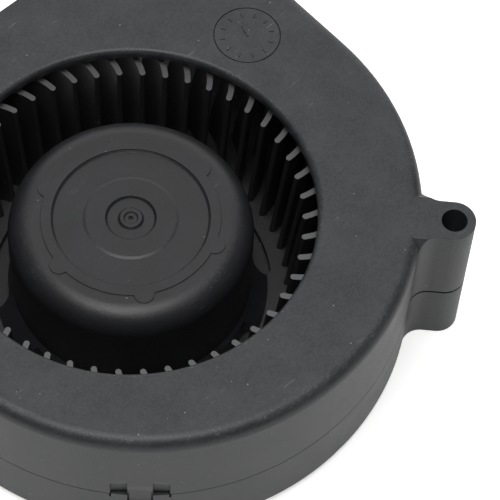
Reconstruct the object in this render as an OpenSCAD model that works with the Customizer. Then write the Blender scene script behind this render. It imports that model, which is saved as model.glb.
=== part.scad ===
// Centrifugal DC blower: two clipped plastic shells round a forward-curved wheel,
// driven by an external-rotor motor on two small ball bearings.
// Origin on the rotor axis at the base plane, +Z up through the inlet, +Y out of the outlet.

/* [Housing] */
// Height of the closed housing
height = 33; // [32:0.5:40]
// Height of the parting line above the base
seam_z = 14.2; // [11:0.1:17]
// Thickness of the side wall
wall = 1.6; // [1.4:0.1:2]
// Thickness of the cover plate
cover_t = 1.9; // [1.5:0.1:2.4]
// Thickness of the floor
floor_t = 2; // [1.8:0.1:2.4]
// Rounding of the outer edges round the cover and the floor
edge_r = 2.3; // [1.8:0.1:2.8]
// Gap that shows as the parting line
seam_gap = 0.15; // [0.05:0.05:0.3]
// Height of the locating lip on the lower shell
lip_h = 1.5; // [1:0.1:2]
// Thickness of the locating lip
lip_t = 0.7; // [0.5:0.05:0.8]

/* [Scroll] */
// Mean radius of the scroll wall
scroll_r = 48.3; // [47.5:0.1:52]
// Distance from the rotor axis to the middle of the scroll
scroll_shift = 3.9; // [3:0.1:4.5]
// Loss of radius from the arc at the duct to the next arc
scroll_step = 2; // [1:0.1:3]
// Loss of radius on the arc that runs up to the cutoff
cutoff_step = 4.4; // [3.5:0.1:4.8]
// Rounding of the cutoff nose
nose_r = 1.2; // [0.8:0.1:1.5]

/* [Outlet and inlet] */
// Rotor axis to the outlet face
outlet_y = 46.5; // [45.5:0.5:60]
// Rotor axis to the outer face of the short duct wall
duct_left = 7; // [5:0.5:9]
// Radius of the inlet opening
inlet_r = 32.4; // [31:0.1:34]
// Rounding of the inlet lip
inlet_lip_r = 1; // [0.6:0.1:1.2]

/* [Mounting ears] */
// Radius of the screw holes
ear_hole_r = 2.25; // [1.8:0.05:2.5]
// Outer radius of each ear
ear_r = 3.75; // [3.5:0.05:5]
// Rotor axis to each screw hole
ear_reach = 56; // [54.5:0.1:60]
// Direction of the ear beside the scroll
ear_angle = -44.6; // [-55:0.1:-35]
// Radius of the hollow where the ear meets the wall
ear_hollow_r = 3.5; // [3:0.1:6]

/* [Clips] */
// Width of the pocket for each clip tongue
clip_w = 4.4; // [3.6:0.1:5]
// Width of the notch on each side of the clip tongue
clip_notch_w = 2.9; // [2:0.1:3.4]
// Height of the notches above the parting line
clip_notch_h = 3.4; // [2:0.1:4]
// Drop of the clip tongue below the parting line
clip_drop = 3.6; // [3:0.1:5]

/* [Wheel] */
// Number of blades
blade_count = 46; // [30:1:52]
// Outer radius of the wheel
wheel_r = 37.5; // [36.5:0.1:38]
// Radius to the inner tip of a blade, at its top
blade_in_r = 29.9; // [29:0.1:31]
// Thickness of a blade
blade_t = 1.05; // [0.8:0.05:1.2]
// Outward lean of the inner blade edge from bottom to top
blade_draft = 5.4; // [0:0.1:6]
// Angle between a blade and the radius at its inner tip
blade_lean = 17; // [10:1:25]
// Radius of the blade's curve
blade_curve_r = 12; // [10:0.5:20]
// Cover underside to the blade tips
tip_gap = 1.8; // [1.2:0.1:2.4]
// Height of the web's top face above the base
web_z = 6; // [5.6:0.1:6.4]
// Thickness of the web under the blades
web_t = 1.6; // [1.4:0.1:1.8]
// Radius where the skirt round the hub's foot meets the web
skirt_r = 24.7; // [24:0.1:25]
// Height of the skirt above the web
skirt_h = 4; // [3:0.1:5]
// Outer radius of the pockets in the skirt
pocket_r = 25.5; // [25.2:0.1:26]
// Depth of the pockets below the web's top face
pocket_depth = 1.5; // [1.2:0.1:1.6]
// Thickness of the flange under the pockets
flange_t = 1.1; // [1:0.1:1.2]
// Number of pockets round the hub
pocket_count = 5; // [3:1:6]
// Angle between two pockets
pocket_bridge = 27; // [16:1:40]
// Radial thickness of the ring that joins the blades at the top
ring_t = 1.4; // [1:0.1:2]
// Height of the ring that joins the blades at the top
ring_h = 1.6; // [1:0.1:2.4]

/* [Hub] */
// Outer radius of the hub
hub_r = 21.6; // [21.2:0.1:22]
// Cover top to hub top
hub_gap = 3.5; // [3:0.1:4]
// Thickness of the hub's wall
hub_wall = 1.3; // [1.1:0.1:1.5]
// Thickness of the hub's top
hub_top_t = 1.8; // [1.6:0.1:2.1]
// Rounding of the hub's shoulder
hub_edge_r = 4.5; // [3.5:0.1:5]
// Radius of the raised plate on the hub
plate_r = 15.7; // [15.2:0.1:16.4]
// Radius of the dished middle of the hub
dish_r = 13.9; // [13:0.1:14.6]
// Number of half-round lobes on the raised plate
lobe_count = 6; // [3:1:8]
// Radius of each lobe
lobe_r = 1.7; // [1.2:0.1:2]

/* [Motor] */
// Radius of the shaft
shaft_r = 1.5; // [1.2:0.05:1.6]
// Outer radius of each bearing
bearing_r = 4; // [3.9:0.1:4.2]
// Width of each bearing
bearing_w = 4; // [3.5:0.1:4.2]
// Outer radius of the bearing tube
tube_r = 5.3; // [5.1:0.1:5.6]
// Thickness of the steel rotor cup
yoke_t = 1; // [0.8:0.1:1.2]
// Radial thickness of the magnet ring
magnet_t = 1.4; // [1.2:0.1:1.8]
// Height of the magnet ring
magnet_h = 15; // [12:0.5:16]
// Air gap between magnet and stator
air_gap = 0.4; // [0.3:0.05:0.6]
// Height of the stator's lamination stack
stack_h = 10; // [8:0.5:10.5]
// Width of a stator tooth
tooth_w = 4.6; // [4:0.1:5.4]
// Thickness of the winding on each side of a tooth
coil_t = 2.4; // [1.6:0.1:2.6]
// Thickness of the plastic insulators
insulator_t = 0.8; // [0.6:0.05:1]
// Radius of the circuit board
board_r = 18.2; // [17.4:0.1:18.6]
// Thickness of the circuit board
board_t = 1.2; // [1:0.1:1.6]
// Height of the posts under the circuit board
board_post_h = 1.6; // [1.2:0.1:1.8]

/* [Hidden] */
$fn = 96;
eps = 0.01;

// Scroll: three tangent arcs, then the straight duct wall
arc_r = [scroll_r + scroll_step / 2, scroll_r - scroll_step / 2, scroll_r - scroll_step / 2 - cutoff_step];
arc_x = [scroll_shift - scroll_step / 2, scroll_shift - scroll_step / 2, scroll_shift - scroll_step / 2 - cutoff_step];
arc_y = [scroll_step / 2, -scroll_step / 2, -scroll_step / 2];
duct_right = arc_x[0] + arc_r[0];
lip_slack = 0.1;
cover_z = height - cover_t;

// Second ear, diagonally across the axis
ear_angles = [ear_angle, ear_angle + 180];
hollow_bite = 0.1;
ear_step = 0.15;

// Clips: the arc that carries each one and its direction there
clip_depth = wall - lip_t - lip_slack;
clip_slit_w = 0.3;
clip_slit_h = 1.1;
clip_slot_h = 0.8;
clip_ramp_h = 3;
clip_ramp_r = 10;
clip_arcs = [[1, -133], [2, 150], [0, -14]];
clip_span = clip_w + 2 * clip_notch_w;

// Moulded insert ring on the cover
insert_x = 39.5;
insert_y = 13.2;
insert_r = 6.1;
insert_groove = 0.18;

// Lead exit in the floor
lead_angle = 205;
lead_w = 3.6;
lead_d = 1.1;
lead_hole_r = 15;

// Wheel heights
flange_z = web_z - pocket_depth;
flange_bottom = flange_z - flange_t;
blade_top = cover_z - tip_gap;
hub_top = height - hub_gap;
hub_bore_r = hub_r - hub_wall;
pocket_gap = 0.7;
pocket_phase = -15.5;
pocket_span = 360 / pocket_count - pocket_bridge;
blade_phase = 91.4;

// Rotor cup and magnet
yoke_r = hub_bore_r;
yoke_top = hub_top - hub_top_t;
yoke_bottom = flange_bottom + 3.4;
yoke_edge_r = 3;
magnet_r = yoke_r - yoke_t;
magnet_in_r = magnet_r - magnet_t;
stator_r = magnet_in_r - air_gap;

// Bearings and shaft
tube_lip = 0.6;
lower_bearing_z = floor_t + tube_lip;
upper_bearing_z = yoke_top - yoke_t - 5.2 - bearing_w;
tube_top = upper_bearing_z + bearing_w;
clip_t = 0.4;
shaft_bottom = lower_bearing_z - clip_t - 0.5;
cap_t = 1;
cap_r = bearing_r + 0.4;
clip_clear = 0.7;
inner_ring_r = shaft_r + 0.6;
outer_ring_in_r = bearing_r - 0.6;
race_r = (inner_ring_r + outer_ring_in_r) / 2;
ball_r = (outer_ring_in_r - inner_ring_r) / 2 + 0.14;
ball_slack = 0.03;
ball_count = 7;
shaft_fit = 0.03;
washer_h = 0.6;
washer_w = 0.55;
spacer_t = 0.6;
boss_r = shaft_r + 2.6;
boss_neck_r = shaft_r + 1.4;
boss_foot = 0.7;
boss_cone_h = 1.6;

// Stator
pole_count = 4;
stack_z = (lower_bearing_z + tube_top) / 2 - stack_h / 2 + 3.4;
arm_w = tooth_w + 2 * insulator_t;
coil_in_r = tube_r + 3.6;
coil_out_r = stator_r - 2.8;
shoe_t = 1.8;
shoe_span = 74;
magnet_z = stack_z + stack_h / 2 - magnet_h / 2;

// Circuit board
board_z = floor_t + board_post_h;
board_top = board_z + board_t;
board_hole_r = tube_r + 2;
tube_boss_r = tube_r + 1.6;
post_r = 1.2;
post_ring_r = board_r - 2.4;
pin_r = 0.35;
pin_ring_r = board_hole_r + 1.1;

plastic = "#3b3c3e";
wheel_plastic = "#333436";
steel = "#b9bcc0";

module at_arc(i) {
    translate([arc_x[i], arc_y[i], 0])
        children();
}

// Half cross-section of a disc: radius r, from z0 to z1, with a rounded top edge
module edge_profile(r, z0, z1, f) {
    if (f == 0)
        translate([0, z0])
            square([r, z1 - z0]);
    else {
        translate([0, z0])
            square([r, z1 - z0 - f]);
        translate([0, z0])
            square([r - f, z1 - z0]);
        translate([r - f, z1 - f])
            circle(r = f);
    }
}

// A quarter of the scroll, turned from angle a
module quarter(i, a, inset, z0, z1, f) {
    at_arc(i)
        rotate([0, 0, a])
            rotate_extrude(angle = 90)
                edge_profile(arc_r[i] - inset, z0, z1, f);
}

// Straight duct with both upper edges rounded
module duct(inset, z0, z1, f, y1) {
    half = (duct_right + duct_left) / 2 - inset;
    translate([(duct_right - duct_left) / 2, arc_y[0], 0])
        rotate([90, 0, 180])
            linear_extrude(y1 - arc_y[0]) {
                edge_profile(half, z0, z1, f);
                mirror([1, 0])
                    edge_profile(half, z0, z1, f);
            }
}

// Scroll and duct from z0 to z1, inset from the housing's outer face, upper edge rounded by f
module blank(inset, z0, z1, f, y1) {
    quarter(0, -90, inset, z0, z1, f);
    quarter(1, -180, inset, z0, z1, f);
    quarter(2, 90, inset, z0, z1, f);
    duct(inset, z0, z1, f, y1);
    translate([arc_x[2] - 2, arc_y[1] - 2, z0])
        cube([arc_x[0] - arc_x[2] + 4, arc_y[0] - arc_y[1] + 4, z1 - z0]);
}

// Air space of the scroll and duct, with a rounded nose at the cutoff
module cavity(z0, z1) {
    set = 0.85 * nose_r;
    nose_x = -duct_left + wall - set;
    nose_y = arc_y[2] + sqrt(pow(arc_r[2] - wall, 2) - pow(nose_x - arc_x[2], 2)) + set;
    blank(wall, z0, z1, 0, outlet_y + 1);
    translate([nose_x, nose_y, z0])
        difference() {
            translate([-nose_r / 2, -2 * nose_r, 0])
                cube([1.5 * nose_r + 1, 2.5 * nose_r, z1 - z0]);
            translate([0, 0, -1])
                cylinder(r = nose_r, h = z1 - z0 + 2);
        }
}

// Outline of an ear whose arm leaves the arc of radius r; x runs out along the arm
module ear_outline(r, reach) {
    centre_r = r + ear_hollow_r - hollow_bite;
    hollow_y = ear_r + ear_hollow_r;
    hollow_x = sqrt(pow(centre_r, 2) - pow(hollow_y, 2));
    inner = (r - wall / 2) / centre_r;
    root = r - wall - 1;
    translate([reach, 0])
        circle(r = ear_r);
    translate([root, -ear_r])
        square([reach - root, 2 * ear_r]);
    for (side = [-1, 1])
        difference() {
            polygon([
                [root, 0],
                [hollow_x, 0],
                [hollow_x, side * hollow_y],
                [inner * hollow_x, side * inner * hollow_y]
            ]);
            translate([hollow_x, side * hollow_y])
                circle(r = ear_hollow_r);
        }
}

// Ear n stands on the first or the last arc; the arm points from the arc's middle to the hole
module at_ear(n) {
    i = n == 0 ? 0 : 2;
    hole = [ear_reach * cos(ear_angles[n]), ear_reach * sin(ear_angles[n])];
    arm = [hole[0] - arc_x[i], hole[1] - arc_y[i]];
    translate([arc_x[i], arc_y[i], 0])
        rotate([0, 0, atan2(arm[1], arm[0])])
            children();
}

function ear_arm(n) =
    let (
        i = n == 0 ? 0 : 2,
        dx = ear_reach * cos(ear_angles[n]) - arc_x[i],
        dy = ear_reach * sin(ear_angles[n]) - arc_y[i]
    ) sqrt(dx * dx + dy * dy);

module ears(z0, z1) {
    for (n = [0, 1])
        at_ear(n)
            translate([0, 0, z0])
                linear_extrude(z1 - z0)
                    ear_outline(arc_r[n == 0 ? 0 : 2], ear_arm(n));
}

// Slopes that take the ears' top edges down to the rounded edge of the cover
module ear_slopes() {
    for (n = [0, 1], side = [-1, 1])
        at_ear(n)
            translate([arc_r[n == 0 ? 0 : 2] - edge_r - 2, side * (ear_r + 0.45), height])
                rotate([-side * 45, 0, 0])
                    translate([0, side > 0 ? 0 : -8, 0])
                        cube([edge_r + 6, 8, 6]);
}

module ear_holes() {
    for (a = ear_angles)
        rotate([0, 0, a])
            translate([ear_reach, 0, -1])
                cylinder(r = ear_hole_r, h = height + 2);
}

// Places children at each clip: x outwards from the wall's outer face, y along the wall
module at_clips() {
    for (c = clip_arcs)
        at_arc(c[0])
            rotate([0, 0, c[1]])
                translate([arc_r[c[0]], 0, 0])
                    children();
}

// Closed slot along an arc, with round ends
module arc_slot(r0, r1, span, h) {
    mid = (r0 + r1) / 2;
    half = (r1 - r0) / 2;
    trim = asin(half / mid);
    rotate([0, 0, -span / 2 + trim])
        rotate_extrude(angle = span - 2 * trim)
            translate([r0, 0])
                square([r1 - r0, h]);
    for (side = [-1, 1])
        rotate([0, 0, side * (span / 2 - trim)])
            translate([mid, 0, 0])
                cylinder(r = half, h = h);
}

module ring(r0, r1, h) {
    difference() {
        cylinder(r = r1, h = h);
        translate([0, 0, -1])
            cylinder(r = r0, h = h + 2);
    }
}

module upper_housing() {
    color(plastic)
        difference() {
            union() {
                blank(0, seam_z + seam_gap, height, edge_r, outlet_y);
                difference() {
                    ears(seam_z + seam_gap + ear_step, height);
                    ear_slopes();
                }
            }
            cavity(seam_z - 1, cover_z);
            blank(wall - lip_t - lip_slack, seam_z - 1, seam_z + lip_h, 0, outlet_y + 1);
            inlet_cut();
            ear_holes();
            translate([insert_x, insert_y, height - insert_groove])
                ring(insert_r - insert_groove, insert_r, 1);
            at_clips() {
                for (side = [-1, 1])
                    translate([0, side * (clip_w + clip_notch_w) / 2, seam_z])
                        clip_notch(clip_notch_w, clip_notch_h, clip_depth);
                translate([0, 0, seam_z])
                    clip_notch(clip_w + 0.2, clip_slot_h, clip_depth / 2);
            }
        }
    color(plastic)
        at_clips()
            translate([-clip_depth, -clip_w / 2 + clip_slit_w, seam_z - clip_drop + clip_slit_w])
                cube([clip_depth / 2, clip_w - 2 * clip_slit_w, clip_drop + seam_gap]);
}

// Inlet opening with a rounded lip
module inlet_cut() {
    lip = min(inlet_lip_r, cover_t * 0.6);
    translate([0, 0, cover_z - 1])
        cylinder(r = inlet_r, h = cover_t + 2);
    difference() {
        translate([0, 0, height - lip])
            cylinder(r = inlet_r + lip, h = lip + 1);
        rotate_extrude()
            translate([inlet_r + lip, height - lip])
                circle(r = lip);
    }
}

module lower_housing() {
    color(plastic)
        difference() {
            union() {
                difference() {
                    union() {
                        mirror([0, 0, 1])
                            blank(0, -seam_z, 0, edge_r, outlet_y);
                        ears(0, seam_z - ear_step);
                        blank(wall - lip_t, seam_z - 1, seam_z + lip_h, 0, outlet_y);
                    }
                    cavity(floor_t, seam_z + lip_h + 1);
                }
                translate([0, 0, floor_t / 2])
                    ring(tube_r, tube_boss_r, board_z - floor_t / 2);
                board_posts();
            }
            ear_holes();
            translate([0, 0, -1])
                cylinder(r = cap_r, h = cap_t + 1);
            translate([0, 0, -1])
                cylinder(r = bearing_r - clip_clear, h = floor_t + 2);
            at_clips()
                clip_pocket();
            lead_exit();
        }
}

// Notch in the edge of the upper shell, with the wall above it rounded in towards it
module clip_notch(w, h, depth) {
    translate([-depth, -w / 2, 0])
        cube([depth + 1, w, h]);
    difference() {
        translate([-depth, -w / 2, h - 0.2])
            cube([depth + 1, w, clip_ramp_h + 0.2]);
        translate([-clip_ramp_r - 0.04, w, h + clip_ramp_h])
            rotate([90, 0, 0])
                cylinder(r = clip_ramp_r, h = 2 * w);
    }
}

// Pocket for the tongue, with a fine slit at each end of the clip
module clip_pocket() {
    translate([-clip_depth, -clip_w / 2, seam_z - clip_drop])
        cube([clip_depth + 1, clip_w, clip_drop + 1]);
    for (side = [-1, 1])
        translate([-clip_depth, side * clip_span / 2 - clip_slit_w / 2, seam_z - clip_slit_h])
            cube([clip_depth + 1, clip_slit_w, clip_slit_h + 1]);
}

module board_posts() {
    for (a = [40, 160, 280])
        rotate([0, 0, a])
            translate([post_ring_r, 0, floor_t / 2])
                cylinder(r = post_r, h = board_z - floor_t / 2);
}

// Slot under the circuit board, and the groove that takes the leads to the side
module lead_exit() {
    rotate([0, 0, lead_angle]) {
        translate([lead_hole_r, -lead_w / 2, -1])
            cube([lead_w, lead_w, floor_t + 2]);
        translate([lead_hole_r, -lead_w / 2, -1])
            cube([scroll_r, lead_w, lead_d + 1]);
    }
}

module bottom_cap() {
    color(plastic)
        cylinder(r = cap_r, h = cap_t);
}

// One blade, standing on the web: an arc in plan with a round inner end
module blade() {
    length = wheel_r - blade_in_r + 3;
    height_over = blade_top - web_z + 1;
    translate([blade_in_r, 0, blade_top])
        rotate([0, blade_draft, 0])
            translate([0, 0, -height_over])
                linear_extrude(height_over + 1)
                    blade_outline(length);
}

module blade_outline(length) {
    turn = 2 * asin(length / 2 / blade_curve_r);
    rotate([0, 0, blade_lean])
        translate([blade_t / 2, blade_curve_r]) {
            difference() {
                circle(r = blade_curve_r + blade_t / 2);
                circle(r = blade_curve_r - blade_t / 2);
                translate([-2 * blade_curve_r, -2 * blade_curve_r])
                    square([2 * blade_curve_r, 4 * blade_curve_r]);
                translate([0, 0])
                    rotate([0, 0, turn])
                        translate([0, -2 * blade_curve_r])
                            square([2 * blade_curve_r, 2 * blade_curve_r]);
                translate([-blade_curve_r, 0])
                    square([3 * blade_curve_r, 2 * blade_curve_r]);
            }
            translate([0, -blade_curve_r])
                circle(r = blade_t / 2);
        }
}

module impeller() {
    color(wheel_plastic)
        union() {
            wheel_disc();
            intersection() {
                union() {
                    for (k = [0:blade_count - 1])
                        rotate([0, 0, blade_phase + k * 360 / blade_count])
                            blade();
                }
                translate([0, 0, web_z - web_t / 2])
                    cylinder(r = wheel_r - ring_t / 2, h = blade_top - web_z + web_t / 2);
            }
            translate([0, 0, blade_top - ring_h])
                ring(wheel_r - ring_t, wheel_r, ring_h);
        }
}

// Web, hub cup and the skirt between them, with pockets sunk round the hub's foot
module wheel_disc() {
    skirt_slope = (skirt_r - hub_r) / skirt_h;
    difference() {
        union() {
            translate([0, 0, web_z - web_t])
                ring(hub_bore_r, wheel_r, web_t);
            translate([0, 0, flange_bottom])
                ring(hub_bore_r, pocket_r + flange_t, web_z - 1 - flange_bottom);
            rotate_extrude()
                polygon([
                    [hub_r - hub_wall / 2, web_z - 1],
                    [skirt_r + skirt_slope, web_z - 1],
                    [hub_r, web_z + skirt_h],
                    [hub_r - hub_wall / 2, web_z + skirt_h]
                ]);
            hub_cup();
        }
        for (k = [0:pocket_count - 1])
            rotate([0, 0, pocket_phase + k * 360 / pocket_count])
                translate([0, 0, flange_z])
                    arc_slot(hub_r + pocket_gap, pocket_r, pocket_span, pocket_depth + skirt_h);
    }
}

module hub_cup() {
    plate_h = 0.18;
    difference() {
        union() {
            rotate_extrude()
                difference() {
                    edge_profile(hub_r, flange_bottom, hub_top - plate_h, hub_edge_r);
                    edge_profile(yoke_r, flange_bottom - 1, yoke_top, yoke_edge_r);
                }
            translate([0, 0, hub_top - 1])
                cylinder(r = plate_r, h = 1);
            for (k = [0:lobe_count - 1])
                rotate([0, 0, 57 + k * 360 / lobe_count])
                    translate([plate_r, 0, hub_top - 1])
                        cylinder(r = lobe_r, h = 1);
        }
        hub_dish();
    }
}

// Shallow turned steps in the middle of the hub, each with a sloping edge
module hub_dish() {
    rotate_extrude()
        polygon([
            [0, hub_top - 1],
            [0.45, hub_top - 1],
            [0.45, hub_top - 0.65],
            [1.05, hub_top - 0.65],
            [1.3, hub_top - 0.4],
            [1.9, hub_top - 0.4],
            [2.3, hub_top - 0.8],
            [4.1, hub_top - 0.8],
            [4.5, hub_top - 0.35],
            [7.9, hub_top - 0.35],
            [8.4, hub_top - 0.5],
            [dish_r - 0.4, hub_top - 0.5],
            [dish_r, hub_top - 0.2],
            [dish_r, hub_top + 1],
            [0, hub_top + 1]
        ]);
}

module rotor_yoke() {
    color(steel)
        rotate_extrude()
            difference() {
                edge_profile(yoke_r, yoke_bottom, yoke_top, yoke_edge_r);
                edge_profile(yoke_r - yoke_t, yoke_bottom - 1, yoke_top - yoke_t, yoke_edge_r - yoke_t);
                translate([0, yoke_bottom])
                    square([boss_neck_r, yoke_top]);
            }
}

module rotor_magnet() {
    color("#4a4642")
        translate([0, 0, magnet_z])
            ring(magnet_in_r, magnet_r, magnet_h);
}

module shaft_boss() {
    color("#b08d4f")
        rotate_extrude()
            polygon([
                [shaft_r, tube_top + washer_h],
                [shaft_r + boss_foot, tube_top + washer_h],
                [boss_r, tube_top + washer_h + boss_cone_h],
                [boss_r, yoke_top - yoke_t],
                [boss_neck_r, yoke_top - yoke_t],
                [boss_neck_r, yoke_top],
                [shaft_r, yoke_top]
            ]);
}

module shaft() {
    color(steel)
        difference() {
            union() {
                translate([0, 0, shaft_bottom + 0.3])
                    cylinder(r = shaft_r, h = yoke_top - shaft_bottom - 0.3);
                translate([0, 0, shaft_bottom])
                    cylinder(r1 = shaft_r - 0.3, r2 = shaft_r, h = 0.3);
            }
            translate([0, 0, lower_bearing_z - clip_t])
                ring(shaft_r - 0.3, shaft_r + 1, clip_t);
        }
}

// Split washer in the shaft's groove, holding the rotor down
module retaining_clip() {
    color("#d8d8d4")
        translate([0, 0, lower_bearing_z - clip_t])
            difference() {
                ring(shaft_r - 0.3, shaft_r + 0.9, clip_t);
                translate([0, -0.35, -1])
                    cube([shaft_r + 2, 0.7, clip_t + 2]);
            }
}

module preload_washer() {
    color(steel)
        translate([0, 0, tube_top])
            ring(shaft_r, shaft_r + washer_w, washer_h);
}

module bearing_tube() {
    color("#b08d4f")
        difference() {
            translate([0, 0, floor_t])
                cylinder(r = tube_r, h = tube_top - floor_t);
            translate([0, 0, lower_bearing_z])
                cylinder(r = bearing_r, h = tube_top);
            translate([0, 0, floor_t - 1])
                cylinder(r = bearing_r - clip_clear, h = tube_top);
        }
}

module bearing_spacer() {
    color("#d0c8b4")
        translate([0, 0, lower_bearing_z + bearing_w])
            ring(bearing_r - spacer_t, bearing_r, upper_bearing_z - lower_bearing_z - bearing_w);
}

module race(z) {
    translate([0, 0, z + bearing_w / 2])
        rotate_extrude()
            translate([race_r, 0])
                circle(r = ball_r + ball_slack);
}

module outer_ring(z) {
    color(steel)
        difference() {
            translate([0, 0, z])
                ring(outer_ring_in_r, bearing_r, bearing_w);
            race(z);
        }
}

module inner_ring(z) {
    color(steel)
        difference() {
            translate([0, 0, z])
                ring(shaft_r, inner_ring_r, bearing_w);
            race(z);
        }
}

module at_balls(z) {
    for (k = [0:ball_count - 1])
        rotate([0, 0, k * 360 / ball_count])
            translate([race_r, 0, z + bearing_w / 2])
                children();
}

module balls(z) {
    color(steel)
        at_balls(z)
            sphere(r = ball_r);
}

// Snap cage: a ring between the races with a pocket for each ball
module cage(z) {
    color("#c9b98e")
        difference() {
            translate([0, 0, z + bearing_w / 2 - 1])
                ring(race_r - 0.3, race_r + 0.3, 1.4);
            at_balls(z)
                sphere(r = ball_r + 0.06);
        }
}

// Thin steel covers held by the outer ring on both sides
module shields(z) {
    color(steel)
        for (dz = [0.1, bearing_w - 0.3])
            translate([0, 0, z + dz])
                ring(inner_ring_r + 0.15, outer_ring_in_r, 0.2);
}

module upper_bearing_outer_ring() { outer_ring(upper_bearing_z); }
module upper_bearing_inner_ring() { inner_ring(upper_bearing_z); }
module upper_bearing_balls() { balls(upper_bearing_z); }
module upper_bearing_cage() { cage(upper_bearing_z); }
module upper_bearing_shields() { shields(upper_bearing_z); }
module lower_bearing_outer_ring() { outer_ring(lower_bearing_z); }
module lower_bearing_inner_ring() { inner_ring(lower_bearing_z); }
module lower_bearing_balls() { balls(lower_bearing_z); }
module lower_bearing_cage() { cage(lower_bearing_z); }
module lower_bearing_shields() { shields(lower_bearing_z); }

module at_poles() {
    for (k = [0:pole_count - 1])
        rotate([0, 0, 45 + k * 360 / pole_count])
            children();
}

// Pie-shaped ring segment, centred on +X
module segment(r0, r1, span, h) {
    rotate([0, 0, -span / 2])
        rotate_extrude(angle = span)
            translate([r0, 0])
                square([r1 - r0, h]);
}

module stator_core() {
    color("#8b8f94")
        translate([0, 0, stack_z]) {
            ring(tube_r, tube_r + 2.6, stack_h);
            at_poles() {
                translate([tube_r + 1, -tooth_w / 2, 0])
                    cube([stator_r - shoe_t / 2 - tube_r - 1, tooth_w, stack_h]);
                segment(stator_r - shoe_t, stator_r, shoe_span, stack_h);
            }
        }
}

// Half of the plastic bobbin: a collar, a channel over each tooth and an end wall
module insulator_half() {
    half = stack_h / 2;
    collar_r = tube_r + 2.6;
    translate([0, 0, half])
        ring(tube_r, collar_r, insulator_t);
    translate([0, 0, half + insulator_t / 2])
        ring(collar_r - 1, collar_r, insulator_t / 2 + coil_t);
    at_poles() {
        difference() {
            translate([collar_r, -arm_w / 2, 0])
                cube([coil_out_r - collar_r + 0.4, arm_w, half + insulator_t]);
            translate([0, -tooth_w / 2, -1])
                cube([stator_r, tooth_w, half + 1]);
        }
        translate([collar_r - 1.2, -arm_w / 2 + 0.4, half])
            cube([2, arm_w - 0.8, insulator_t / 2]);
        translate([0, 0, half])
            segment(coil_out_r, coil_out_r + 0.8, shoe_span - 24, insulator_t + coil_t);
    }
}

module upper_insulator() {
    color("#e4e0d4")
        translate([0, 0, stack_z + stack_h / 2])
            insulator_half();
}

module lower_insulator() {
    color("#e4e0d4")
        translate([0, 0, stack_z + stack_h / 2])
            mirror([0, 0, 1])
                insulator_half();
}

// One winding per tooth, wound round the bobbin's channel
module stator_coils() {
    inner_w = arm_w;
    inner_h = stack_h + 2 * insulator_t;
    color("#a4562c")
        translate([0, 0, stack_z + stack_h / 2])
            intersection() {
                at_poles()
                    translate([coil_in_r, 0, 0])
                        rotate([90, 0, 90])
                            linear_extrude(coil_out_r - coil_in_r)
                                difference() {
                                    rounded_square(inner_w + 2 * coil_t, inner_h + 2 * coil_t, coil_t);
                                    square([inner_w, inner_h], center = true);
                                }
                translate([0, 0, -stack_h])
                    cylinder(r = coil_out_r - 0.05, h = 2 * stack_h);
            }
}

module rounded_square(w, h, r) {
    square([w - 2 * r, h], center = true);
    square([w, h - 2 * r], center = true);
    for (sx = [-1, 1], sy = [-1, 1])
        translate([sx * (w / 2 - r), sy * (h / 2 - r)])
            circle(r = r);
}

// Posts from the lower bobbin through the board, where the winding ends are soldered
module winding_pins() {
    color("#c8b890")
        at_poles()
            translate([pin_ring_r, 0, board_z - 0.6])
                cylinder(r = pin_r, h = stack_z - insulator_t - board_z + 0.6);
}

module circuit_board() {
    color("#2f6a3f")
        translate([0, 0, board_z])
            difference() {
                ring(board_hole_r, board_r, board_t);
                at_poles()
                    translate([pin_ring_r, 0, -1])
                        cylinder(r = pin_r + 0.15, h = board_t + 2);
                rotate([0, 0, lead_angle])
                    translate([lead_hole_r, -lead_w / 2, -1])
                        cube([board_r, lead_w, board_t + 2]);
            }
}

// Places a chip on the board's top face
module on_board(r, a) {
    rotate([0, 0, a])
        translate([r, 0, board_top])
            children();
}

// Moulded body on two rows of bent leads
module chip(w, d, h, leads, pitch) {
    stand = 0.15;
    translate([-w / 2, -d / 2, stand])
        cube([w, d, h - stand]);
    for (side = [-1, 1], k = [0:leads - 1])
        translate([side * (w / 2 + 0.45), (k - (leads - 1) / 2) * pitch, 0]) {
            translate([-0.35, -0.2, 0])
                cube([0.7, 0.4, 0.2]);
            translate([side * -0.35 - 0.1, -0.2, 0])
                cube([0.2, 0.4, h / 2]);
            translate([side * -0.5 - 0.2, -0.2, h / 2 - 0.2])
                cube([0.4, 0.4, 0.2]);
        }
}

module driver_chip() {
    color("#222426")
        on_board(post_ring_r - 2.6, 90)
            chip(3.9, 4.9, 1.4, 4, 1.27);
}

module hall_sensor() {
    color("#222426")
        on_board(board_r - 1.8, 0)
            chip(1.6, 2.9, 1.1, 2, 1.9);
}

module chip_capacitors() {
    color("#b59a72")
        for (a = [60, 120, 240])
            on_board(board_r - 4.2, a)
                translate([-1, -0.65, 0])
                    cube([2, 1.3, 0.9]);
}

module chip_resistors() {
    color("#2a2a2c")
        for (a = [20, 74, 106, 262, 340])
            on_board(board_r - 2.2, a)
                translate([-0.4, -0.8, 0])
                    cube([0.8, 1.6, 0.5]);
}

upper_housing();
lower_housing();
bottom_cap();
impeller();
rotor_yoke();
rotor_magnet();
shaft_boss();
shaft();
retaining_clip();
preload_washer();
bearing_tube();
bearing_spacer();
upper_bearing_outer_ring();
upper_bearing_inner_ring();
upper_bearing_balls();
upper_bearing_cage();
upper_bearing_shields();
lower_bearing_outer_ring();
lower_bearing_inner_ring();
lower_bearing_balls();
lower_bearing_cage();
lower_bearing_shields();
stator_core();
upper_insulator();
lower_insulator();
stator_coils();
winding_pins();
circuit_board();
driver_chip();
hall_sensor();
chip_capacitors();
chip_resistors();
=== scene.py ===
import math

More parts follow.
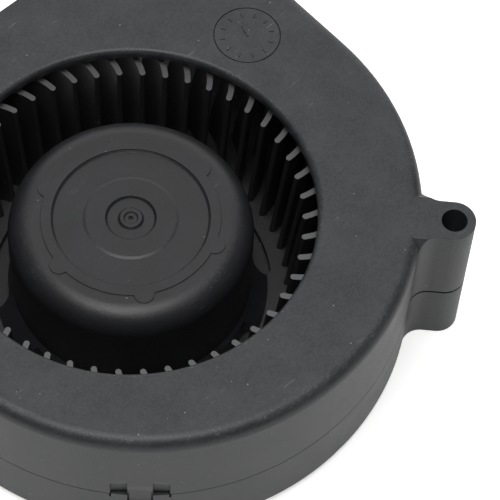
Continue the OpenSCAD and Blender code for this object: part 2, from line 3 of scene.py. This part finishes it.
import bmesh
import bpy
from mathutils import Matrix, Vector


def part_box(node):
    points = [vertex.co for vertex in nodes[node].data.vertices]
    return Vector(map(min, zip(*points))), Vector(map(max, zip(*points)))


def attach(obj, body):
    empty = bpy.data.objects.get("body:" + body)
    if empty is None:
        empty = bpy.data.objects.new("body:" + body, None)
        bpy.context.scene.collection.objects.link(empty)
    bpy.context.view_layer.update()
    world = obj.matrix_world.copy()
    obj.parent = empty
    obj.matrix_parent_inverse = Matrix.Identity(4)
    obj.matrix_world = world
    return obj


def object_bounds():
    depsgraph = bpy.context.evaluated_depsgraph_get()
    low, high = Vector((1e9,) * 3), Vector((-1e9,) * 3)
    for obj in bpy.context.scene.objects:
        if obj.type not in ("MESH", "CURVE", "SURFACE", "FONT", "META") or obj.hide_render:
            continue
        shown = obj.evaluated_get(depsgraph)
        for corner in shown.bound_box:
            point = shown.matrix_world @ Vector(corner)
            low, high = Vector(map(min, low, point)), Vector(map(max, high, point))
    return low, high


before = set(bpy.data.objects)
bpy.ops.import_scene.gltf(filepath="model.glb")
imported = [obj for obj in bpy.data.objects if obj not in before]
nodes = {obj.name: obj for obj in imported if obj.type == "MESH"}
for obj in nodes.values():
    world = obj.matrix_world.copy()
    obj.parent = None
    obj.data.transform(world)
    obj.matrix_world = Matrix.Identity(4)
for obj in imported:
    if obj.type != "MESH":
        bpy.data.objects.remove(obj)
cad_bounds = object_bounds()

# Camera. The blower lies on a table and is looked down on from above one
# corner with a long lens, close enough that its far side runs out of view.
MM = 0.001
view_azimuth = math.radians(-46.04)
view_elevation = math.radians(59.46)
view_roll = math.radians(3.85)
view_distance = 421.2 * MM
aim_x, aim_y = 9.39 * MM, -20.17 * MM

cover_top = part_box("upper_housing")[1].z
turn = (
    Matrix.Rotation(view_azimuth, 4, "Z")
    @ Matrix.Rotation(math.pi / 2 - view_elevation, 4, "X")
    @ Matrix.Rotation(view_roll, 4, "Z")
)
camera_data = bpy.data.cameras.new("camera")
camera_data.sensor_width = 36
camera_data.lens = 177.35
camera_data.clip_start = 0.01
camera = bpy.data.objects.new("camera", camera_data)
camera.matrix_world = (
    Matrix.Translation((aim_x, aim_y, cover_top)) @ turn @ Matrix.Translation((0, 0, view_distance))
)
bpy.context.scene.collection.objects.link(camera)
bpy.context.scene.camera = camera


# Table. A white laminate sheet, wide enough to fill every view, which the
# blower's flat base rests on; it throws soft light back up at the walls.
def hex_colour(code):
    """Linear colour of an sRGB hex code."""
    channels = [int(code[i:i + 2], 16) / 255 for i in (1, 3, 5)]
    linear = [c / 12.92 if c <= 0.04045 else ((c + 0.055) / 1.055) ** 2.4 for c in channels]
    return (*linear, 1.0)


def add_node(tree, kind, inputs=None, **settings):
    """A shader node with its settings; an input is a value or another node's output."""
    node = tree.nodes.new(kind)
    for name, value in settings.items():
        setattr(node, name, value)
    for name, value in (inputs or {}).items():
        if isinstance(value, bpy.types.NodeSocket):
            tree.links.new(value, node.inputs[name])
        else:
            node.inputs[name].default_value = value
    return node


def empty_tree(owner):
    """The cleared node tree of a material or world."""
    owner.use_nodes = True
    owner.node_tree.nodes.clear()
    return owner.node_tree


def add_object(name, mesh):
    obj = bpy.data.objects.new(name, mesh)
    bpy.context.scene.collection.objects.link(obj)
    return obj


laminate = bpy.data.materials.new("white_laminate")
tree = empty_tree(laminate)
path = add_node(tree, "ShaderNodeLightPath")
seen = add_node(
    tree, "ShaderNodeMath", {0: path.outputs["Is Camera Ray"], 1: path.outputs["Is Glossy Ray"]},
    operation="MAXIMUM",
)
seen_through = add_node(
    tree, "ShaderNodeMath", {0: seen.outputs[0], 1: path.outputs["Is Transmission Ray"]}, operation="MAXIMUM"
)
shown = add_node(
    tree, "ShaderNodeMapRange", {"Value": path.outputs["Is Camera Ray"], "To Min": 0.35, "To Max": 0.6}
)
lift_level = add_node(
    tree, "ShaderNodeMath", {0: seen_through.outputs[0], 1: shown.outputs[0]}, operation="MULTIPLY"
)
lift = add_node(tree, "ShaderNodeEmission", {"Color": (1, 1, 1, 1), "Strength": lift_level.outputs[0]})
matte = add_node(tree, "ShaderNodeBsdfDiffuse", {"Color": hex_colour("#f4f4f2")})
lifted = add_node(tree, "ShaderNodeAddShader", {0: matte.outputs[0], 1: lift.outputs[0]})
add_node(tree, "ShaderNodeOutputMaterial", {"Surface": lifted.outputs[0]})

mesh = bpy.data.meshes.new("table")
bm = bmesh.new()
bmesh.ops.create_grid(bm, x_segments=1, y_segments=1, size=3)
bm.to_mesh(mesh)
bm.free()
table = add_object("table", mesh)
table.location.z = cad_bounds[0][2] - 0.05 * MM
mesh.materials.append(laminate)


# Studio light. A softbox overhead lights the parts, and two panels behind the
# blower, one high and one low, put a sheen on the cover and on its far edges.
def softbox(name, azimuth, elevation, distance, width, depth, power):
    """An area light that faces the blower from that azimuth and elevation."""
    data = bpy.data.lights.new(name, "AREA")
    data.shape = "RECTANGLE"
    data.size, data.size_y = width, depth
    data.energy = power
    lamp = bpy.data.objects.new(name, data)
    lamp.visible_camera = False
    lamp.matrix_world = (
        Matrix.Rotation(math.radians(azimuth), 4, "Z")
        @ Matrix.Rotation(math.radians(90 - elevation), 4, "X")
        @ Matrix.Translation((0, 0, distance))
    )
    bpy.context.scene.collection.objects.link(lamp)


softbox("overhead_softbox", azimuth=-60, elevation=80, distance=0.9, width=0.5, depth=0.5, power=5)
softbox("high_panel", azimuth=134, elevation=58, distance=1.0, width=1.2, depth=0.9, power=2)
softbox("low_panel", azimuth=134, elevation=25, distance=1.2, width=1.6, depth=0.8, power=4.8)

world = bpy.data.worlds.new("studio")
bpy.context.scene.world = world
tree = empty_tree(world)
path = add_node(tree, "ShaderNodeLightPath")
level = add_node(
    tree, "ShaderNodeMapRange", {"Value": path.outputs["Is Camera Ray"], "To Min": 0.08, "To Max": 1.0}
)
sky = add_node(tree, "ShaderNodeBackground", {"Color": (1, 1, 1, 1), "Strength": level.outputs[0]})
add_node(tree, "ShaderNodeOutputWorld", {"Surface": sky.outputs[0]})
bpy.context.scene.view_settings.view_transform = "Standard"


# Housing. Two glass-filled PBT shells and a bottom cap, moulded in charcoal
# black in a finely spark-eroded mould, clipped together along the seam.
def set_material(material, *names):
    """Gives CAD nodes one material in place of what they came with."""
    for name in names:
        slots = nodes[name].data.materials
        slots.clear()
        slots.append(material)


def start_material(name):
    """A new material, its tree and the coordinates fixed to the object."""
    material = bpy.data.materials.new(name)
    tree = empty_tree(material)
    place = add_node(tree, "ShaderNodeTexCoord").outputs["Object"]
    return material, tree, place


def finish_material(tree, shader):
    add_node(tree, "ShaderNodeOutputMaterial", {"Surface": shader.outputs["BSDF"]})


def moulded_plastic(name, dark, light, grain, relief, sheen, edge, dust, scuffs, painted_tip_highlight=None):
    """A black plastic moulding: mottled tone, eroded grain, painted shade in crevices, a pale rim line that is
    part wear and part painted highlight, dust and short scuffs.

    The last argument is a radius, a height and a colour: tops beyond both take that paler colour, a painted
    highlight where light catches the blade tips.
    """
    material, tree, place = start_material(name)
    parts = add_node(tree, "ShaderNodeSeparateXYZ", {"Vector": place})
    across = add_node(tree, "ShaderNodeCombineXYZ", {"X": parts.outputs["X"], "Y": parts.outputs["Y"]})
    radius = add_node(tree, "ShaderNodeVectorMath", {0: across.outputs[0]}, operation="LENGTH")
    clouds = add_node(
        tree, "ShaderNodeTexNoise",
        {"Vector": place, "Scale": 1 / (7 * MM), "Detail": 5.0, "Roughness": 0.7},
    )
    fine = add_node(
        tree, "ShaderNodeTexNoise",
        {"Vector": place, "Scale": 1 / grain, "Detail": 3.0, "Roughness": 0.75},
    )
    both = add_node(
        tree, "ShaderNodeMix", {"Factor": 0.55, 2: clouds.outputs["Fac"], 3: fine.outputs["Fac"]}
    )
    tone = add_node(
        tree, "ShaderNodeMapRange", {"Value": both.outputs[0], "From Min": 0.38, "From Max": 0.62}
    )
    mottled = add_node(
        tree, "ShaderNodeMix",
        {"Factor": tone.outputs[0], 6: hex_colour(dark), 7: hex_colour(light)}, data_type="RGBA",
    )

    # Joints, crevices and corners are darkened towards near black where ambient occlusion is high: painted shade.
    crevice_occlusion = add_node(tree, "ShaderNodeAmbientOcclusion", {"Distance": 0.7 * MM}, samples=8)
    crevice_shade_amount = add_node(
        tree, "ShaderNodeMapRange", {"Value": crevice_occlusion.outputs["AO"], "From Min": 0.45, "From Max": 0.9}
    )
    crevice_shaded = add_node(
        tree, "ShaderNodeMix",
        {"Factor": crevice_shade_amount.outputs[0], 6: hex_colour("#050505"), 7: mottled.outputs[2]}, data_type="RGBA",
    )

    base = crevice_shaded
    # Tops beyond the given radius and height are painted paler: painted highlight of the lit blade tips.
    if painted_tip_highlight:
        least_radius, height, colour = painted_tip_highlight
        far_out = add_node(
            tree, "ShaderNodeMath", {0: radius.outputs["Value"], 1: least_radius}, operation="GREATER_THAN"
        )
        high_up = add_node(tree, "ShaderNodeMath", {0: parts.outputs["Z"], 1: height}, operation="GREATER_THAN")
        tip_highlight_mask = add_node(
            tree, "ShaderNodeMath", {0: far_out.outputs[0], 1: high_up.outputs[0]}, operation="MULTIPLY"
        )
        base = add_node(
            tree, "ShaderNodeMix",
            {"Factor": tip_highlight_mask.outputs[0], 6: crevice_shaded.outputs[2], 7: hex_colour(colour)}, data_type="RGBA",
        )

    # Rims get a broken pale line where the surface tilts just off flat: part wear, part painted highlight of the
    # rim.
    soft_edge = add_node(tree, "ShaderNodeBevel", {"Radius": edge}, samples=4)
    shape = add_node(tree, "ShaderNodeNewGeometry")
    worn_chips = add_node(
        tree, "ShaderNodeMapRange",
        {"Value": fine.outputs["Fac"], "From Min": 0.58, "From Max": 0.68, "To Max": scuffs},
    )
    worn_patches = add_node(
        tree, "ShaderNodeMapRange", {"Value": clouds.outputs["Fac"], "From Min": 0.42, "From Max": 0.6}
    )
    upright = add_node(tree, "ShaderNodeSeparateXYZ", {"Vector": shape.outputs["Normal"]})
    below_flat = add_node(
        tree, "ShaderNodeMapRange",
        {"Value": upright.outputs["Z"], "From Min": 0.995, "From Max": 0.97},
    )
    above_wall = add_node(
        tree, "ShaderNodeMapRange",
        {"Value": upright.outputs["Z"], "From Min": 0.7, "From Max": 0.9},
    )
    rim = add_node(
        tree, "ShaderNodeMath", {0: below_flat.outputs[0], 1: above_wall.outputs[0]}, operation="MULTIPLY"
    )
    chips = add_node(
        tree, "ShaderNodeMath", {0: worn_chips.outputs[0], 1: worn_patches.outputs[0]}, operation="MULTIPLY"
    )
    rim_wear_and_highlight = add_node(
        tree, "ShaderNodeMath", {0: rim.outputs[0], 1: chips.outputs[0]}, operation="MULTIPLY"
    )

    # Short scratches lie here and there in the patches that rub.
    lines = []
    for angle, length, width in ((0.9, 2.4, 0.12), (-0.5, 3.2, 0.14)):
        along = add_node(
            tree, "ShaderNodeMapping",
            {"Vector": place, "Rotation": (0, 0, angle),
             "Scale": (1 / (length * MM), 1 / (width * MM), 1 / (width * MM))},
        )
        hair = add_node(
            tree, "ShaderNodeTexNoise", {"Vector": along.outputs[0], "Scale": 0.5, "Detail": 1.0}
        )
        line = add_node(
            tree, "ShaderNodeMapRange", {"Value": hair.outputs["Fac"], "From Min": 0.72, "From Max": 0.8}
        )
        lines.append(line.outputs[0])
    crossed = add_node(tree, "ShaderNodeMath", {0: lines[0], 1: lines[1]}, operation="MAXIMUM")
    rubbed = add_node(
        tree, "ShaderNodeMapRange",
        {"Value": clouds.outputs["Fac"], "From Min": 0.52, "From Max": 0.62, "To Max": scuffs},
    )
    scratched = add_node(
        tree, "ShaderNodeMath", {0: crossed.outputs[0], 1: rubbed.outputs[0]}, operation="MULTIPLY"
    )
    # The pale colour carries both the real scratches and the painted rim highlight.
    scuff_and_rim_highlight = add_node(
        tree, "ShaderNodeMath", {0: scratched.outputs[0], 1: rim_wear_and_highlight.outputs[0]}, operation="MAXIMUM"
    )
    with_scuffs_and_rim_highlight = add_node(
        tree, "ShaderNodeMix", {"Factor": scuff_and_rim_highlight.outputs[0], 6: base.outputs[2], 7: hex_colour("#7c7d7e")},
        data_type="RGBA",
    )

    # Dust lies in single specks, most of them far smaller than the largest.
    speck = add_node(
        tree, "ShaderNodeTexVoronoi", {"Vector": place, "Scale": 1 / (1.4 * MM), "Randomness": 1.0}
    )
    chance = add_node(tree, "ShaderNodeSeparateColor", {"Color": speck.outputs["Color"]})
    size = add_node(
        tree, "ShaderNodeMapRange",
        {"Value": chance.outputs[0], "From Min": 1 - dust, "From Max": 1.0, "To Min": 0.0, "To Max": 0.09},
    )
    is_speck = add_node(
        tree, "ShaderNodeMath", {0: speck.outputs["Distance"], 1: size.outputs[0]}, operation="LESS_THAN"
    )
    dusty = add_node(
        tree, "ShaderNodeMix",
        {"Factor": is_speck.outputs[0], 6: with_scuffs_and_rim_highlight.outputs[2], 7: hex_colour("#8e8e8a")},
        data_type="RGBA",
    )
    rough = add_node(
        tree, "ShaderNodeMapRange",
        {"Value": both.outputs[0], "From Min": 0.38, "From Max": 0.62,
         "To Min": sheen - 0.06, "To Max": sheen + 0.06},
    )
    bump = add_node(
        tree, "ShaderNodeBump",
        {"Height": fine.outputs["Fac"], "Distance": relief, "Normal": soft_edge.outputs[0]},
    )
    shader = add_node(
        tree, "ShaderNodeBsdfPrincipled",
        {"Base Color": dusty.outputs[2], "Roughness": rough.outputs[0], "IOR": 1.5,
         "Normal": bump.outputs[0]},
    )
    finish_material(tree, shader)
    return material


spark_eroded_pbt = moulded_plastic(
    "spark_eroded_pbt", "#282a2c", "#3d3f42", grain=0.45 * MM, relief=0.035 * MM, sheen=0.46,
    edge=0.15 * MM, dust=0.5, scuffs=0.8,
)
set_material(spark_eroded_pbt, "upper_housing", "lower_housing", "bottom_cap")

# Mould-date dial. A turned insert in the mould leaves a fine ring on the
# cover, with twelve raised month ticks and a pointer standing inside it.
dial_x, dial_y = 39.5 * MM, 13.2 * MM
tick_radius, tick_length, tick_width, tick_height = 4.5 * MM, 0.9 * MM, 0.24 * MM, 0.1 * MM


def add_tick(bm, x, y, angle, length, width, height, at=(0, 0)):
    """A raised bar with its middle at x, y in the dial, turned by angle about the dial's centre."""
    place = (
        Matrix.Translation((at[0], at[1], cover_top))
        @ Matrix.Rotation(angle, 4, "Z")
        @ Matrix.Translation((x, y, 0))
        @ Matrix.Diagonal((length, width, 2 * height, 1))
    )
    bmesh.ops.create_cube(bm, size=1, matrix=place)


bm = bmesh.new()
for month in range(12):
    add_tick(bm, tick_radius, 0, math.radians(30 * month), tick_length, tick_width, tick_height, (dial_x, dial_y))
add_tick(bm, 0.9 * MM, 0, math.radians(75), 2.6 * MM, tick_width, tick_height, (dial_x, dial_y))
bmesh.ops.bevel(
    bm, geom=bm.edges[:], offset=0.04 * MM, segments=2, profile=0.5, affect="EDGES", material=-1
)
mesh = bpy.data.meshes.new("mould_date_dial")
bm.to_mesh(mesh)
bm.free()
dial = add_object("mould_date_dial", mesh)
mesh.materials.append(spark_eroded_pbt)
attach(dial, "housing")

# Fan wheel. One moulding of smoother black PBT: hub cup, web and a ring of
# forward-curved blades, pressed over the motor's steel rotor cup.
wheel_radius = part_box("impeller")[1].x
blade_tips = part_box("impeller")[1].z - 0.2 * MM
# The outer blade tops are painted a paler grey: a painted highlight where the overhead light catches them.
wheel_pbt = moulded_plastic(
    "wheel_pbt", "#1f2021", "#26272a", grain=0.35 * MM, relief=0.03 * MM, sheen=0.42,
    edge=0.1 * MM, dust=0.2, scuffs=0.3,
    painted_tip_highlight=(0.71 * wheel_radius, blade_tips - 0.1 * MM, "#5a5b5c"),
)
set_material(wheel_pbt, "impeller")


# Turned and drawn metal. Ground bearing steel, a zinc-plated rotor cup, brass
# turnings and stacked laminations carry fine tool marks round the rotor axis.
def tooled_metal(name, dark, light, mark, relief, roughness):
    """Metal with tool marks in rings about the rotor axis, mark apart."""
    material, tree, place = start_material(name)
    parts = add_node(tree, "ShaderNodeSeparateXYZ", {"Vector": place})
    across = add_node(tree, "ShaderNodeCombineXYZ", {"X": parts.outputs["X"], "Y": parts.outputs["Y"]})
    radius = add_node(tree, "ShaderNodeVectorMath", {0: across.outputs[0]}, operation="LENGTH")
    rings = add_node(
        tree, "ShaderNodeCombineXYZ", {"X": radius.outputs["Value"], "Y": parts.outputs["Z"]}
    )
    marks = add_node(
        tree, "ShaderNodeTexNoise", {"Vector": rings.outputs[0], "Scale": 1 / mark, "Detail": 3.0}
    )
    stain = add_node(
        tree, "ShaderNodeTexNoise", {"Vector": place, "Scale": 1 / (3 * MM), "Detail": 4.0}
    )
    tone = add_node(
        tree, "ShaderNodeMix",
        {"Factor": stain.outputs["Fac"], 6: hex_colour(dark), 7: hex_colour(light)}, data_type="RGBA",
    )
    rough = add_node(
        tree, "ShaderNodeMapRange",
        {"Value": stain.outputs["Fac"], "From Min": 0.3, "From Max": 0.7,
         "To Min": roughness - 0.06, "To Max": roughness + 0.06},
    )
    bump = add_node(tree, "ShaderNodeBump", {"Height": marks.outputs["Fac"], "Distance": relief})
    shader = add_node(
        tree, "ShaderNodeBsdfPrincipled",
        {"Base Color": tone.outputs[2], "Metallic": 1.0, "Roughness": rough.outputs[0],
         "Normal": bump.outputs[0]},
    )
    finish_material(tree, shader)
    return material


bearing_parts = [
    f"{place}_bearing_{part}"
    for place in ("upper", "lower")
    for part in ("outer_ring", "inner_ring", "balls", "shields")
]
ground_steel = tooled_metal("ground_steel", "#b9babd", "#d6d7d9", 0.05 * MM, 0.002 * MM, 0.22)
set_material(ground_steel, "shaft", "preload_washer", *bearing_parts)
zinc_plate = tooled_metal("zinc_plate", "#a5a8aa", "#c4c6c7", 0.3 * MM, 0.004 * MM, 0.36)
set_material(zinc_plate, "rotor_yoke")
turned_brass = tooled_metal("turned_brass", "#b08d4c", "#cfae6c", 0.12 * MM, 0.004 * MM, 0.3)
set_material(turned_brass, "shaft_boss", "bearing_tube", "winding_pins")
silicon_steel = tooled_metal("silicon_steel", "#6e7276", "#8a8e92", 0.5 * MM, 0.02 * MM, 0.45)
set_material(silicon_steel, "stator_core")


# Motor insides. Nylon bobbins, enamelled copper, bonded ferrite and a small
# green driver board, closed in between the hub and the floor.
def cast_finish(name, dark, light, grain, relief, roughness, gloss=0.0):
    """A cast or moulded part with a mottled tone and a fine grain, and a clear coat where it is lacquered."""
    material, tree, place = start_material(name)
    grains = add_node(
        tree, "ShaderNodeTexNoise", {"Vector": place, "Scale": 1 / grain, "Detail": 3.0}
    )
    tone = add_node(
        tree, "ShaderNodeMix",
        {"Factor": grains.outputs["Fac"], 6: hex_colour(dark), 7: hex_colour(light)}, data_type="RGBA",
    )
    bump = add_node(tree, "ShaderNodeBump", {"Height": grains.outputs["Fac"], "Distance": relief})
    shader = add_node(
        tree, "ShaderNodeBsdfPrincipled",
        {"Base Color": tone.outputs[2], "Roughness": roughness, "Coat Weight": gloss,
         "Normal": bump.outputs[0]},
    )
    finish_material(tree, shader)
    return material


natural_nylon = cast_finish("natural_nylon", "#d9d4c4", "#ebe7da", 0.4 * MM, 0.01 * MM, 0.45)
set_material(
    natural_nylon, "retaining_clip", "bearing_spacer", "upper_insulator", "lower_insulator",
    "upper_bearing_cage", "lower_bearing_cage",
)
bonded_ferrite = cast_finish("bonded_ferrite", "#3a3836", "#514e4a", 0.2 * MM, 0.01 * MM, 0.7)
set_material(bonded_ferrite, "rotor_magnet")
enamelled_copper = cast_finish("enamelled_copper", "#8a3f1c", "#c26a35", 0.3 * MM, 0.05 * MM, 0.3, 0.6)
set_material(enamelled_copper, "stator_coils")
solder_mask = cast_finish("solder_mask", "#123f22", "#1a5a30", 1.5 * MM, 0.004 * MM, 0.3, 0.4)
set_material(solder_mask, "circuit_board")
chip_epoxy = cast_finish("chip_epoxy", "#1d1d1f", "#2a2a2c", 0.1 * MM, 0.004 * MM, 0.6)
set_material(chip_epoxy, "driver_chip", "hall_sensor", "chip_resistors")
fired_ceramic = cast_finish("fired_ceramic", "#8f7350", "#ab8c63", 0.15 * MM, 0.003 * MM, 0.4)
set_material(fired_ceramic, "chip_capacitors")
